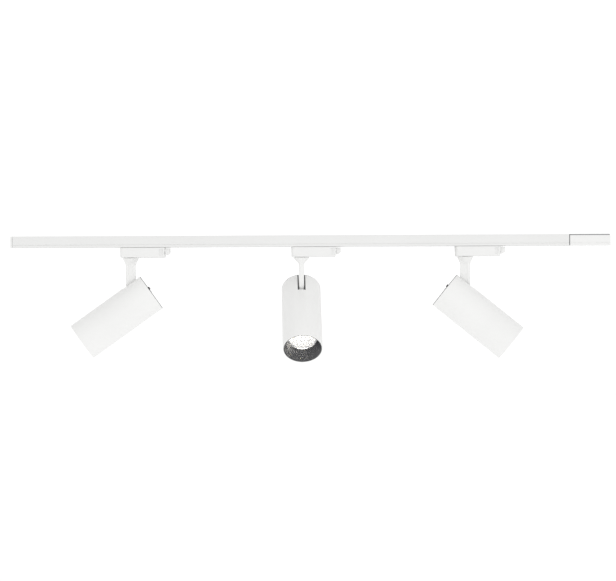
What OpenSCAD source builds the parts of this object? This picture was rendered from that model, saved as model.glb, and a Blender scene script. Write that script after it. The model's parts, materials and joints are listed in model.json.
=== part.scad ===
// Three-spot track light: a one-metre single-circuit track with a live-end feed,
// and three cylindrical spotlights that slide, pan and tilt.
// Frame: origin at the middle of the track's top (ceiling) face, +Z up,
// +X along the track towards the feed, -Y towards the room.

/* [Track] */
// Length of the aluminium track
track_l = 1000; // [1000:50:2000]
// Width of the track
track_w = 35; // [34.5:0.5:37]
// Height of the track
track_h = 20.5; // [20.5:0.1:21.5]
// Wall thickness of the track
track_t = 1.6; // [1.4:0.1:1.6]
// Width of the slot along the track's underside
track_slot_w = 20; // [19.5:0.5:20.5]
// Height of the shadow groove above the track's lower edge
groove_up = 4.5; // [4.5:0.1:5]
// Distance of the inner ceiling screws from the middle
screw_inner = 150; // [120:5:180]
// Distance of the outer ceiling screws from the middle
screw_outer = 450; // [420:5:470]
// Radius of the ceiling screw holes
ceiling_hole_r = 2.25; // [2:0.05:2.6]

/* [Track ends] */
// Thickness of the closing end cap
cap_t = 4.2; // [3.4:0.1:5]
// Width of the shadow gap between the track and the end cap
cap_gap = 0.6; // [0.3:0.1:1]
// Width of the dark joint between the track and the feed
feed_gap = 1.4; // [1:0.1:2]
// Length of the feed's housing
feed_l = 73; // [72:0.2:90]
// Thickness of the feed's dark base plate
feed_base_t = 2.2; // [2:0.1:2.4]
// Radius of the supply cable entry in the base plate
entry_r = 5; // [4:0.5:6]

/* [Adapter] */
// Positions of the three arms along the track
arm_x = [-289, 18.8, 314.2];
// Length of the adapter past the arm towards the feed
adapter_front = 62.5; // [61:0.5:63]
// Length of the adapter past the arm away from the feed
adapter_back = 18.2; // [17:0.1:22]
// Width of the adapter
adapter_w = 34; // [33:0.5:36]
// Height of the adapter under the track
adapter_h = 18; // [18:0.1:18.5]
// Running gap between the track and the adapter
adapter_gap = 0.5; // [0.4:0.1:0.7]
// Wall thickness of the adapter
adapter_t = 1.8; // [1.6:0.1:2]
// Radius of the twist-in neck
neck_r = 9.3; // [8.8:0.1:9.3]
// How far the lock tab is pulled down to release the adapter
lock_travel = 3.5; // [3:0.1:3.6]

/* [Arm] */
// Width of the arm in the tilting plane
arm_w = 18; // [17:0.5:18]
// Thickness of the arm
arm_t = 9; // [8:0.5:9.2]
// Height of the tilt pivot
pivot_z = -100.9; // [-108:0.1:-99]
// Largest diameter of the swivel collar
collar_d = 28; // [26:0.5:30]
// Height of the swivel collar
collar_h = 12.4; // [12:0.2:14]
// Radius of the swivel spigot
spigot_r = 5; // [4.5:0.1:5.5]
// Radius of the tilt pivot pin
pin_r = 2.5; // [2:0.1:3]
// Radial running clearance on the spigot and the pin
running_gap = 0.05; // [0.02:0.01:0.09]

/* [Head] */
// Outer diameter of the head
head_d = 71; // [69:0.5:72]
// Length of the head
head_l = 153; // [148:1:160]
// Wall thickness of the head's tube
tube_t = 2.2; // [2:0.1:2.4]
// Width of the slot in the tube
slot_w = 14; // [13:0.5:15]
// Length of the slot in the tube
slot_l = 39; // [39:0.1:40]
// Distance of the pivot from the back of the head
pivot_back = 29.7; // [29:0.1:29.7]
// Distance of the pivot from the head's axis, towards the slot
pivot_up = 21.7; // [21.5:0.1:21.8]
// Depth of the conical anti-glare baffle
baffle_depth = 24; // [20:0.1:26]
// Radius of the baffle's inner opening
baffle_in_r = 25.5; // [22:0.5:26]
// Way each head aims, turned about Z from -X
aims = [5, 91.5, 175];
// Tilt of each head up from straight down
tilts = [54.5, 46, 51];

/* [Hidden] */
$fn = 64;
eps = 0.01;
HEADS = ["left", "centre", "right"];
TRACK_NODES = [
    "track_rail", "front_insulator", "rear_insulator", "live_conductor",
    "neutral_conductor", "end_cap", "feed_housing", "feed_base",
    "feed_terminal_block", "feed_contacts", "rail_screws"
];
HEAD_NODES = [
    "adapter_body", "adapter_cover", "adapter_contacts", "lock_tab",
    "latch_spring", "swivel_collar", "swivel_nut", "support_arm", "pivot_pin",
    "head_tube", "rear_cap", "heat_sink", "led_module", "led_driver",
    "reflector", "baffle_ring"
];

white = [0.93, 0.93, 0.92];
white_plastic = [0.95, 0.95, 0.94];
dark = [0.22, 0.22, 0.23];
black = [0.12, 0.12, 0.13];
grey = [0.72, 0.73, 0.74];
copper = [0.78, 0.48, 0.32];
brass = [0.80, 0.68, 0.38];
steel = [0.66, 0.67, 0.69];
silver = [0.88, 0.88, 0.89];
phosphor = [0.96, 0.86, 0.42];

// Track section
half_l = track_l / 2;
half_w = track_w / 2;
lip_t = 1.5;
lip_top = -track_h + lip_t;
inner_w = half_w - track_t;
groove_z = -track_h + groove_up;
groove_wide = 0.8;
groove_deep = 0.5;
rib_t = 0.8;
rib_in = 1.4;
insulator_top = -3.5;
insulator_bottom = -15.5;
insulator_in = 12;
strip_z = -9.5;
strip_h = 3.6;
strip_in = 13;
strip_out = 14;
channel_h = 4;
plug_w = 22;
plug_top = -2.4;
plug_bottom = -18.4;
plug_l = 11;
blade_h = 1.8;
blade_tip = strip_in - 0.05;

// Track ends
feed_x = half_l + feed_gap;
feed_wall = 1.8;
feed_boss_r = 4.5;
feed_screw_x = [feed_x + 6, feed_x + feed_l - 8];
block_x = feed_x + 14;
block_l = 22;
block_w = 27;
entry_x = feed_x + feed_l - 24;
screw_head_r = 3;
screw_head_h = 1.8;
screw_r = 1.5;
end_corner_r = 1.6;

// Adapter
adapter_top = -track_h - adapter_gap;
adapter_bottom = adapter_top - adapter_h;
adapter_floor = 2;
cover_t = 2;
corner_r = 6;
neck_x = 14;
neck_top = -5;
wing_l = 8;
wing_w = 30;
wing_z = lip_top + 0.4;
wing_t = 2;
blade_w = 5.8;
blade_root = 6;
grip_from = 53;
grip_deep = 0.6;
rib_pitch = 2.6;
tab_w = 24;
tab_gap = 0.3;
tab_bar_z = -29;
tab_bar_t = 4;
lug_x = [51, 57];
lug_w = 6;
lug_top = lip_top + 1.7;
spring_x = 54;
spring_r = 2.3;
spring_wire_r = 0.35;
spring_turns = 5;
spring_low = adapter_bottom + adapter_floor;
post_r = 1.2;
post_h = 3.4;

// Arm
collar_top = adapter_bottom - 0.6;
collar_bottom = collar_top - collar_h;
nut_bottom = adapter_bottom + adapter_floor + 0.1;
nut_flange = 1;
nut_h = 4.6;
nut_r = 8.5;
spigot_top = nut_bottom + nut_h + 1;
tongue_w = 14;
tongue_t = 6;
tongue_l = 6;
arm_edge_r = 1.5;
channel_w = 8;
channel_deep = 0.6;

// Head, in the tube's frame: origin at the back's centre, +Z to the front, +X to the slot
head_r = head_d / 2;
channel_low = head_r - pivot_up + 0.6;
bore_r = head_r - tube_t;
cap_plate_t = 0.8;
cap_plug_t = 3;
cap_r = head_r - 0.4;
cap_slot_up = 11.6;
fit_gap = 0.1;
baffle_front = head_l - 0.2;
seat_w = baffle_front - baffle_depth - 0.2;
seat_r = head_r - 1.7;
edge = 0.4;
ear_gap = 0.3;
ear_t = 3;
ear_r = 8;
press_gap = 0.02;
ear_in = arm_t / 2 + ear_gap;
sink_back = 52;
sink_plate_t = 3;
fin_front = 88;
sink_front = 98;
fin_t = 1.6;
fin_pitch = 6.4;
fin_side = 4;
led_plate_t = 1.6;
led_r = 9;
mouth_w = seat_w - 0.1;
cup_back = sink_front + led_plate_t + 0.8;
cup_back_r = 10;
cup_t = 0.9;
cup_steps = 12;
cup_flange_r = bore_r - 0.5;
cup_flange_t = 1;

// ---------- small helpers ----------

// A bar from one corner to the other
module span(low, high) {
    translate(low)
        cube(high - low);
}

// Outline of the track, used by everything that closes its ends
module end_outline(inset) {
    r = end_corner_r;
    w = half_w - inset;
    low = -track_h + inset;
    high = -inset;
    union() {
        translate([-w, low + r])
            square([2 * w, high - low - 2 * r]);
        translate([-w + r, low])
            square([2 * (w - r), high - low]);
        for (y = [-w + r, w - r])
            for (z = [low + r, high - r])
                translate([y, z])
                    circle(r);
    }
}

// Turns an outline drawn across the track into a plate from x = from, t thick
module across(from, t) {
    translate([from, 0, 0])
        rotate([90, 0, 90])
            linear_extrude(t)
                children();
}

// A rectangle with round corners at its far or near end
module soft_rect(x0, x1, w, r0, r1) {
    union() {
        translate([x0 + r0, -w / 2])
            square([x1 - x0 - r0 - r1, w]);
        translate([x0, -w / 2 + r0])
            square([r0 + eps, w - 2 * r0]);
        translate([x1 - r1 - eps, -w / 2 + r1])
            square([r1 + eps, w - 2 * r1]);
        for (side = [-1, 1]) {
            translate([x0 + r0, side * (w / 2 - r0)])
                circle(r0);
            translate([x1 - r1, side * (w / 2 - r1)])
                circle(r1);
        }
    }
}

// ---------- track ----------

// The same outline on the other side, in the order that closes it
function mirrored(points) = [
    for (n = [len(points) - 1 : -1 : 0]) [-points[n][0], points[n][1]]
];

// Half of the track's outline, on the +Y side, from the top's edge to the web's underside
half_outline = [
    [half_w, 0],
    [half_w, groove_z + groove_wide / 2],
    [half_w - groove_deep, groove_z + groove_wide / 2],
    [half_w - groove_deep, groove_z - groove_wide / 2],
    [half_w, groove_z - groove_wide / 2],
    [half_w, -track_h], [track_slot_w / 2, -track_h],
    [track_slot_w / 2, lip_top], [inner_w, lip_top],
    [inner_w, insulator_bottom - rib_t],
    [inner_w - rib_in, insulator_bottom - rib_t],
    [inner_w - rib_in, insulator_bottom],
    [inner_w, insulator_bottom], [inner_w, insulator_top],
    [inner_w - rib_in, insulator_top],
    [inner_w - rib_in, insulator_top + rib_t],
    [inner_w, insulator_top + rib_t],
    [inner_w, -track_t]
];

module track_rail() {
    color(white)
        difference() {
            across(-half_l, track_l)
                polygon(concat(half_outline, mirrored(half_outline)));
            for (x = [-screw_outer, -screw_inner, screw_inner, screw_outer])
                translate([x, 0, -track_t - 1])
                    cylinder(r = ceiling_hole_r, h = track_t + 2);
        }
}

// The moulded strip that keeps one conductor off the metal
module insulator(side) {
    color(grey)
        scale([1, side, 1])
            across(-half_l, track_l)
                polygon([
                    [insulator_in, insulator_bottom], [inner_w, insulator_bottom],
                    [inner_w, insulator_top], [insulator_in, insulator_top],
                    [insulator_in, strip_z + channel_h / 2],
                    [strip_in, strip_z + channel_h / 2],
                    [strip_in, strip_z + strip_h / 2],
                    [strip_out, strip_z + strip_h / 2],
                    [strip_out, strip_z - strip_h / 2],
                    [strip_in, strip_z - strip_h / 2],
                    [strip_in, strip_z - channel_h / 2],
                    [insulator_in, strip_z - channel_h / 2]
                ]);
}

// The copper strip that a contact blade runs on
module conductor(side) {
    color(copper)
        scale([1, side, 1])
            span([-half_l + 2, strip_in, strip_z - strip_h / 2],
                 [half_l - 2, strip_out, strip_z + strip_h / 2]);
}

module plug(from, l) {
    span([from, -plug_w / 2, plug_bottom], [from + l, plug_w / 2, plug_top]);
}

module end_cap() {
    plate_x = -half_l - cap_gap - cap_t;
    color(white_plastic)
        difference() {
            union() {
                across(plate_x, cap_t)
                    end_outline(0);
                plug(-half_l - cap_gap - eps, plug_l);
            }
            translate([plate_x, 0, -track_h / 2])
                rotate([0, 90, 0])
                    screw_space();
        }
}

// The feed's dark base: top plate, shadow joint and tongue into the track
module feed_base() {
    color(dark)
        difference() {
            union() {
                span([feed_x - eps, -half_w, -feed_base_t],
                     [feed_x + feed_l - end_corner_r, half_w, 0]);
                across(half_l, feed_gap)
                    end_outline(0.5);
                plug(half_l - plug_l, plug_l + eps);
            }
            for (side = [-1, 1])
                scale([1, side, 1])
                    feed_strip();
            translate([entry_x, 0, -feed_base_t - 1])
                cylinder(r = entry_r, h = feed_base_t + 2);
        }
}

module feed_housing() {
    out_x = feed_x + feed_l;
    floor_z = -track_h + feed_wall;
    color(white_plastic)
        difference() {
            union() {
                difference() {
                    translate([0, 0, -track_h])
                        linear_extrude(track_h - feed_base_t)
                            soft_rect(feed_x, out_x, track_w, eps, end_corner_r);
                    span([feed_x + feed_wall, -half_w + feed_wall, floor_z],
                         [out_x - feed_wall, half_w - feed_wall, 0]);
                }
                for (x = feed_screw_x)
                    translate([x, 0, floor_z - eps])
                        cylinder(r = feed_boss_r, h = -feed_base_t - floor_z + eps);
            }
            for (x = feed_screw_x)
                translate([x, 0, -track_h])
                    screw_space();
            for (side = [-1, 1]) {
                span([feed_x - 1, side * half_w - groove_deep, groove_z - groove_wide / 2],
                     [out_x + 1, side * half_w + groove_deep, groove_z + groove_wide / 2]);
                scale([1, side, 1])
                    feed_strip();
            }
        }
}

module feed_terminal_block() {
    low = -track_h + feed_wall;
    port_w = 5;
    color(grey)
        difference() {
            span([block_x, -block_w / 2, low], [block_x + block_l, block_w / 2, -5]);
            for (y = [-9, 0, 9]) {
                span([block_x + block_l - 8, y - port_w / 2, -14],
                     [block_x + block_l + 1, y + port_w / 2, -9]);
                span([block_x + 4, y - port_w / 2, -8],
                     [block_x + 9, y + port_w / 2, -4]);
            }
        }
}

// One brass strip from the terminal block to a conductor
module feed_strip() {
    span([half_l - plug_l - 2, plug_w / 2 + 0.05, strip_z - blade_h / 2],
         [block_x, blade_tip, strip_z + blade_h / 2]);
}

module feed_contacts() {
    color(brass)
        for (side = [-1, 1])
            scale([1, side, 1])
                feed_strip();
}

// A screw that starts at the origin with its head and runs along +Z
module screw_space() {
    cylinder(r = screw_head_r, h = screw_head_h);
    cylinder(r = screw_r, h = 12);
}

module screw() {
    difference() {
        screw_space();
        for (turn = [0, 90])
            rotate([0, 0, turn])
                translate([-2, -0.35, -1])
                    cube([4, 0.7, 1.9]);
    }
}

module rail_screws() {
    color(steel) {
        translate([-half_l - cap_gap - cap_t, 0, -track_h / 2])
            rotate([0, 90, 0])
                screw();
        for (x = feed_screw_x)
            translate([x, 0, -track_h])
                screw();
    }
}

// ---------- adapter, in its own frame: x = 0 at the arm ----------

module adapter_body() {
    color(white_plastic)
        difference() {
            union() {
                difference() {
                    translate([0, 0, adapter_bottom])
                        linear_extrude(adapter_h)
                            soft_rect(-adapter_back, adapter_front, adapter_w, corner_r, 2);
                    translate([0, 0, adapter_bottom + adapter_floor])
                        linear_extrude(adapter_h)
                            soft_rect(-adapter_back + adapter_t, adapter_front - adapter_t,
                                      adapter_w - 2 * adapter_t, corner_r - adapter_t, 1);
                }
                translate([spring_x, 0, spring_low - eps])
                    cylinder(r = post_r, h = post_h);
            }
            translate([0, 0, adapter_bottom - 1])
                cylinder(r = spigot_r + running_gap, h = adapter_floor + 2);
            tab_window();
            lower_chamfer();
            for (side = [-1, 1])
                grip_grooves(side);
        }
}

// The window in the end wall that the lock tab moves in
module tab_window() {
    low = tab_bar_z - lock_travel - tab_gap;
    span([adapter_front - adapter_t - 1, -tab_w / 2 - tab_gap, low],
         [adapter_front + 1, tab_w / 2 + tab_gap, 0]);
}

// The sloping lower edge of the end that the lock tab is on
module lower_chamfer() {
    size = 2.4;
    translate([adapter_front, 0, adapter_bottom])
        rotate([0, 45, 0])
            cube([size, adapter_w + 2, size], center = true);
}

// The upright grip lines on both sides, beside the lock tab
module grip_grooves(side) {
    for (k = [0 : 2])
        span([grip_from + k * rib_pitch, side * adapter_w / 2 - grip_deep, adapter_bottom + 3],
             [grip_from + k * rib_pitch + 1, side * adapter_w / 2 + grip_deep, adapter_top - 2]);
}

// The lid, with the twist-in neck and the two wings that hang on the track's lips
module adapter_cover() {
    gap = 0.05;
    color(white_plastic)
        difference() {
            union() {
                translate([0, 0, adapter_top - cover_t])
                    linear_extrude(cover_t)
                        soft_rect(-adapter_back + adapter_t + gap,
                                  adapter_front - adapter_t - gap,
                                  adapter_w - 2 * (adapter_t + gap), corner_r - adapter_t, 1);
                translate([neck_x, 0, adapter_top - eps])
                    cylinder(r = neck_r, h = neck_top - adapter_top);
                span([neck_x - wing_l / 2, -wing_w / 2, wing_z],
                     [neck_x + wing_l / 2, wing_w / 2, wing_z + wing_t]);
            }
            for (side = [-1, 1])
                scale([1, side, 1])
                    blade();
            span([lug_x[0] - tab_gap, -lug_w / 2 - tab_gap, adapter_top - cover_t - 1],
                 [lug_x[1] + tab_gap, lug_w / 2 + tab_gap, adapter_top + 1]);
        }
}

// One contact blade, with a round nose that runs on its conductor
module blade() {
    nose = blade_w / 2;
    span([neck_x - nose, blade_root, strip_z - blade_h / 2],
         [neck_x + nose, blade_tip - nose, strip_z + blade_h / 2]);
    translate([neck_x, blade_tip - nose, strip_z - blade_h / 2])
        cylinder(r = nose, h = blade_h);
}

module adapter_contacts() {
    color(brass)
        for (side = [-1, 1])
            scale([1, side, 1])
                blade();
}

// The lock tab: an outer grip, a bar through the end wall, and a lug in the track's slot
module lock_tab() {
    grip_x = adapter_front + 0.5;
    end_x = grip_x + 8;
    color(white_plastic)
        union() {
            translate([0, tab_w / 2, 0])
                rotate([90, 0, 0])
                    linear_extrude(tab_w)
                        polygon([
                            [grip_x, adapter_top - 1.3], [end_x - 1, adapter_top - 1.3],
                            [end_x, adapter_top - 2.3], [end_x, adapter_top - 9.6],
                            [end_x - 1.4, adapter_top - 11.6],
                            [end_x - 4.6, adapter_top - 13.2], [grip_x, adapter_top - 13.2],
                            [grip_x, tab_bar_z], [lug_x[0], tab_bar_z],
                            [lug_x[0], tab_bar_z + tab_bar_t], [grip_x, tab_bar_z + tab_bar_t]
                        ]);
            span([lug_x[0], -lug_w / 2, tab_bar_z], [lug_x[1], lug_w / 2, lug_top]);
        }
}

// Points of one ring of the spring's wire, round the coil at turn t
function coil_ring(t, low, high, sides) = [
    for (k = [0 : sides - 1])
        let (a = 360 * t, b = 360 * k / sides, r = spring_r + spring_wire_r * cos(b))
            [r * cos(a), r * sin(a),
             low + (high - low) * t / spring_turns + spring_wire_r * sin(b)]
];

// The compression spring under the lock tab
module latch_spring() {
    sides = 6;
    per_turn = 16;
    rings = spring_turns * per_turn;
    low = spring_low + spring_wire_r + 0.05;
    high = tab_bar_z - spring_wire_r - 0.05;
    points = [for (n = [0 : rings]) each coil_ring(n / per_turn, low, high, sides)];
    walls = [
        for (n = [0 : rings - 1])
            for (k = [0 : sides - 1])
                let (a = n * sides + k, b = n * sides + (k + 1) % sides)
                    each [[a, a + sides, b], [b, a + sides, b + sides]]
    ];
    first = [[for (k = [0 : sides - 1]) k]];
    last = [[for (k = [sides - 1 : -1 : 0]) rings * sides + k]];
    color(steel)
        translate([spring_x, 0, 0])
            polyhedron(points = points, faces = concat(walls, first, last));
}

// ---------- arm, in the frame of its pivot, with the head aiming at -X ----------

module swivel_collar() {
    rim = 1.2;
    foot_w = arm_w + 1;
    foot_t = arm_t + 1;
    color(white)
        translate([0, 0, -pivot_z])
            difference() {
                union() {
                    hull() {
                        translate([0, 0, collar_top - rim])
                            cylinder(d = collar_d, h = rim, $fn = 48);
                        translate([-foot_w / 2, -foot_t / 2, collar_bottom])
                            cube([foot_w, foot_t, 1.6]);
                    }
                    translate([0, 0, collar_top - eps])
                        cylinder(r = spigot_r, h = spigot_top - collar_top);
                }
                span([-tongue_w / 2, -tongue_t / 2, collar_bottom - 1],
                     [tongue_w / 2, tongue_t / 2, collar_bottom + tongue_l]);
            }
}

module swivel_nut() {
    color(steel)
        translate([0, 0, nut_bottom - pivot_z])
            difference() {
                union() {
                    cylinder(r = nut_r, h = nut_flange);
                    cylinder(r = nut_r, h = nut_h, $fn = 6);
                }
                translate([0, 0, -1])
                    cylinder(r = spigot_r, h = nut_h + 2);
            }
}

module support_arm() {
    top = collar_bottom - pivot_z;
    color(white)
        difference() {
            union() {
                linear_extrude(top)
                    soft_rect(-arm_w / 2, arm_w / 2, arm_t, arm_edge_r, arm_edge_r);
                translate([0, arm_t / 2, 0])
                    rotate([90, 0, 0])
                        cylinder(r = arm_w / 2, h = arm_t);
                span([-tongue_w / 2, -tongue_t / 2, top - eps],
                     [tongue_w / 2, tongue_t / 2, top + tongue_l]);
            }
            translate([0, arm_t, 0])
                rotate([90, 0, 0])
                    cylinder(r = pin_r + running_gap, h = 2 * arm_t);
            for (side = [-1, 1])
                span([-channel_w / 2, side * arm_t / 2 - channel_deep, channel_low],
                     [channel_w / 2, side * arm_t / 2 + channel_deep, top]);
        }
}

// ---------- head, in the frame of its tube ----------

// A bar along Y at the tilt pivot
module at_pivot(l) {
    translate([pivot_up, l / 2, pivot_back])
        rotate([90, 0, 0])
            children();
}

module pivot_pin() {
    ears = 2 * (ear_in + ear_t);
    rivet_t = 1.6;
    rivet_r = 4.2;
    color(steel) {
        at_pivot(ears + 2 * rivet_t)
            cylinder(r = pin_r, h = ears + 2 * rivet_t);
        for (y = [-ears / 2, ears / 2 + rivet_t])
            at_pivot(2 * y)
                cylinder(r = rivet_r, h = rivet_t);
    }
}

module head_tube() {
    color(white)
        difference() {
            rotate_extrude()
                polygon([
                    [bore_r, cap_plate_t], [head_r - edge, cap_plate_t],
                    [head_r, cap_plate_t + edge], [head_r, head_l - edge],
                    [head_r - edge, head_l], [seat_r, head_l],
                    [seat_r, seat_w], [bore_r, seat_w]
                ]);
            span([bore_r / 2, -slot_w / 2, 0], [head_r + 1, slot_w / 2, slot_l]);
        }
}

// The dark rear cap, with a short cable boss and the cheeks that line the arm's slot
module rear_cap() {
    boss_r = 2.8;
    boss_l = 2.4;
    color(dark)
        difference() {
            union() {
                cylinder(r = cap_r, h = cap_plate_t);
                cylinder(r = bore_r - fit_gap, h = cap_plate_t + cap_plug_t);
                translate([cap_slot_up - boss_r - 0.6, 0, -boss_l])
                    cylinder(r = boss_r, h = boss_l + eps);
                slot_cheeks();
            }
            span([cap_slot_up, -ear_in, -1], [head_r + 1, ear_in, slot_l]);
        }
}

// Solid lining of the tube's slot, clear of the ears; the arm's way is cut out of it
module slot_cheeks() {
    cheek_y = slot_w / 2 - fit_gap;
    cheek_l = pivot_back - ear_r - 0.5;
    lip_x = pivot_up + ear_r + 0.4;
    end_w = slot_l - fit_gap;
    intersection() {
        cylinder(r = head_r - edge, h = end_w);
        union() {
            span([cap_slot_up, -cheek_y, eps], [head_r, cheek_y, cheek_l]);
            span([lip_x, -cheek_y, eps], [head_r, cheek_y, end_w]);
        }
    }
    span([lip_x, -cheek_y, end_w - eps], [bore_r - 1, cheek_y, slot_l + 2]);
}

// Finned aluminium block with the two ears that carry the pivot pin
module heat_sink() {
    r = bore_r - fit_gap;
    color(silver)
        difference() {
            union() {
                translate([0, 0, fin_front])
                    cylinder(r = r, h = sink_front - fin_front);
                translate([0, 0, sink_back])
                    cylinder(r = r, h = sink_plate_t);
                intersection() {
                    translate([0, 0, sink_back])
                        cylinder(r = r, h = fin_front - sink_back + eps);
                    for (k = [-fin_side : fin_side])
                        span([-r, k * fin_pitch - fin_t / 2, sink_back],
                             [r, k * fin_pitch + fin_t / 2, fin_front + eps]);
                }
                for (side = [-1, 1])
                    ear(side);
            }
            at_pivot(6 * ear_r)
                cylinder(r = pin_r + press_gap, h = 6 * ear_r);
        }
}

module ear(side) {
    y = side * (ear_in + ear_t / 2);
    span([pivot_up - ear_r, y - ear_t / 2, pivot_back],
         [pivot_up + ear_r, y + ear_t / 2, sink_back + eps]);
    translate([pivot_up, y + ear_t / 2, pivot_back])
        rotate([90, 0, 0])
            cylinder(r = ear_r, h = ear_t);
}

// Light source: round board with the lit disc on it
module led_module() {
    board_r = 16;
    color(phosphor)
        translate([0, 0, sink_front]) {
            cylinder(r = board_r, h = led_plate_t);
            cylinder(r = led_r, h = led_plate_t + 0.6);
        }
}

// Driver box, on the side of the head away from the arm
module led_driver() {
    low = [-25, -16, 7];
    high = [5, 16, 50];
    cap = 1.5;
    color(white_plastic)
        union() {
            span(low, high);
            span([low[0] + 6, -9, low[2] - cap], [high[0] - 6, 9, low[2] + eps]);
        }
}

// Radius of the reflector's inner face, t = 0 at the light source and 1 at the mouth
function cup_r(t) = cup_back_r + (baffle_in_r - cup_back_r) * sqrt(t);
function cup_z(t) = cup_back + (mouth_w - cup_back) * t;

module reflector() {
    inner = [for (n = [0 : cup_steps]) let (t = pow(n / cup_steps, 2)) [cup_r(t), cup_z(t)]];
    outer = [for (n = [cup_steps : -1 : 0])
        let (t = pow(n / cup_steps, 2))
            [cup_r(t) + cup_t, cup_z(t) - (n == cup_steps ? cup_flange_t : 0)]];
    flange = [[cup_flange_r, mouth_w], [cup_flange_r, mouth_w - cup_flange_t]];
    color(silver)
        rotate_extrude()
            polygon(concat(inner, flange, outer));
}

module baffle_ring() {
    back = baffle_front - baffle_depth;
    lip = 1;
    color(black)
        rotate_extrude()
            polygon([
                [baffle_in_r, back], [seat_r, back],
                [seat_r, baffle_front], [seat_r - lip, baffle_front]
            ]);
}

// ---------- places ----------

module at_adapter(i) {
    translate([arm_x[i], 0, 0])
        children();
}

module at_arm(i) {
    translate([arm_x[i], 0, pivot_z])
        rotate([0, 0, aims[i]])
            children();
}

module at_head(i) {
    at_arm(i)
        rotate([0, tilts[i], 0])
            translate([pivot_up, 0, pivot_back])
                rotate([0, 180, 0])
                    children();
}

track_rail();
insulator(-1);  // front_insulator
insulator(1);  // rear_insulator
conductor(-1);  // live_conductor
conductor(1);  // neutral_conductor
end_cap();
feed_housing();
feed_base();
feed_terminal_block();
feed_contacts();
rail_screws();

for (i = [0 : len(HEADS) - 1]) {
    name = HEADS[i];
    at_adapter(i) adapter_body();
    at_adapter(i) adapter_cover();
    at_adapter(i) adapter_contacts();
    at_adapter(i) lock_tab();
    at_adapter(i) latch_spring();
    at_arm(i) swivel_collar();
    at_arm(i) swivel_nut();
    at_arm(i) support_arm();
    at_head(i) pivot_pin();
    at_head(i) head_tube();
    at_head(i) rear_cap();
    at_head(i) heat_sink();
    at_head(i) led_module();
    at_head(i) led_driver();
    at_head(i) reflector();
    at_head(i) baffle_ring();
}
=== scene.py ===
import json
import math

import bmesh
import bpy
from mathutils import Matrix, Vector


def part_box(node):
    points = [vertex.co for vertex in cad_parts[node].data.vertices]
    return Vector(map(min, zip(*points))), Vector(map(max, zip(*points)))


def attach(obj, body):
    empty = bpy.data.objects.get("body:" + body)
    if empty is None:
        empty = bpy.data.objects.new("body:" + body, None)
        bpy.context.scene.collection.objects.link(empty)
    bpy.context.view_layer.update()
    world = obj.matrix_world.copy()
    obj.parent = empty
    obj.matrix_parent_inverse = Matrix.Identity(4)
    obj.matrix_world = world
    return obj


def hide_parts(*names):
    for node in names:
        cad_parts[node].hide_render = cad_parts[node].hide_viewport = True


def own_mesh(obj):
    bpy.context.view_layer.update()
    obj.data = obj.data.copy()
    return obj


# Looks of a ceiling track light with three spotlights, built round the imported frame.
# Pieces are drawn in millimetres, in the frame of what they belong to, and put in place in metres.
# The CAD nodes that aren't drawn anew only get a finish and soft edges.

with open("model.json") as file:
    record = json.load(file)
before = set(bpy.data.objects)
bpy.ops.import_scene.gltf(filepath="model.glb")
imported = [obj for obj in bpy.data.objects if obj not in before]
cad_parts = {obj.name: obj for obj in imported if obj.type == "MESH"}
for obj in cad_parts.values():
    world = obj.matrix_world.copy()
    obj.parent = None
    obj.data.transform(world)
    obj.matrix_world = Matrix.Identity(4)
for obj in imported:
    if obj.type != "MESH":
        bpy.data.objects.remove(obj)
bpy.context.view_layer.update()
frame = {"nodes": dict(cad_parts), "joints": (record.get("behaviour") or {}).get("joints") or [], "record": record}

MM = 0.001
HEADS = ("left", "centre", "right")
UP = Vector((0, 0, 1))

# Sizes in millimetres. Those that the design has too are the same there.
WALL = 1.6
HEAD_R = 35.5
HEAD_L = 153.0
BORE_R = 33.3
SEAT_R = 33.8
CONE_IN_R = 25.5
CONE_DEPTH = 24.0
CONE_FRONT = HEAD_L - 0.2
SEAT_W = CONE_FRONT - CONE_DEPTH - 0.2
SLOT_W = 14.0
TAB_W = 24.0
TAB_GAP = 0.3
TAB_TRAVEL = 3.5
TAB_BAR = (-29.0, -25.0)
SLOT_L = 39.0
PIVOT_BACK = 29.7
PIVOT_UP = 21.7
CAP_T = 0.8
CAP_SLOT_UP = 11.6
VENT_FROM = -8.0
VENT_PITCH = 4.0
VENT_HALVES = (13, 12, 10.5, 8.5, 5.5)
CAP_SCREW = (2.0, 22.0)
BOSS_R = 2.8
BOSS_L = 2.4
CHEEK_IN = 4.8
CHEEK_OUT = 6.9
CHEEK_L = 21.2
SINK_FRONT = 98.0
BOARD_R = 16.0
BOARD_T = 1.6
PAD_OUT = 12.8
ARM_W = 18.0
ARM_T = 9.0
CHANNEL_LOW = 14.4
CHANNEL_W = 8.0
CHANNEL_DEEP = 0.6
PIN_R = 2.5
TONGUE = (14.0, 6.0, 6.0)
COLLAR_R = 14.0
SPIGOT_R = 5.0
PLAY = 0.05
GRIP_FROM = 53.0
GRIP_PITCH = 2.6
SPRING_X = 54.0
SPRING_R = 2.3
SPRING_WIRE_R = 0.35
SPRING_TURNS = 5


# ---------- drawing helpers, in millimetres ----------

def fillet(corners, radii, steps=4):
    """The closed outline with its corners rounded. radii is one number, or one for each corner."""
    if not isinstance(radii, (list, tuple)):
        radii = [radii] * len(corners)
    found = []
    for k, corner in enumerate(corners):
        p = Vector(corner)
        a, b = Vector(corners[k - 1]) - p, Vector(corners[(k + 1) % len(corners)]) - p
        half = a.angle(b) / 2
        if radii[k] == 0 or half > math.radians(89):
            found.append(tuple(p))
            continue
        reach = min(radii[k] / math.tan(half), 0.45 * a.length, 0.45 * b.length)
        start, end = p + a.normalized() * reach, p + b.normalized() * reach
        for n in range(steps + 1):
            t = n / steps
            found.append(tuple(start * (1 - t) ** 2 + p * 2 * t * (1 - t) + end * t ** 2))
    return found


def ring(r, z, count=96, centre=(0, 0)):
    """Points round a circle at height z."""
    turns = [2 * math.pi * n / count for n in range(count)]
    return [(centre[0] + r * math.cos(a), centre[1] + r * math.sin(a), z) for a in turns]


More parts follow.
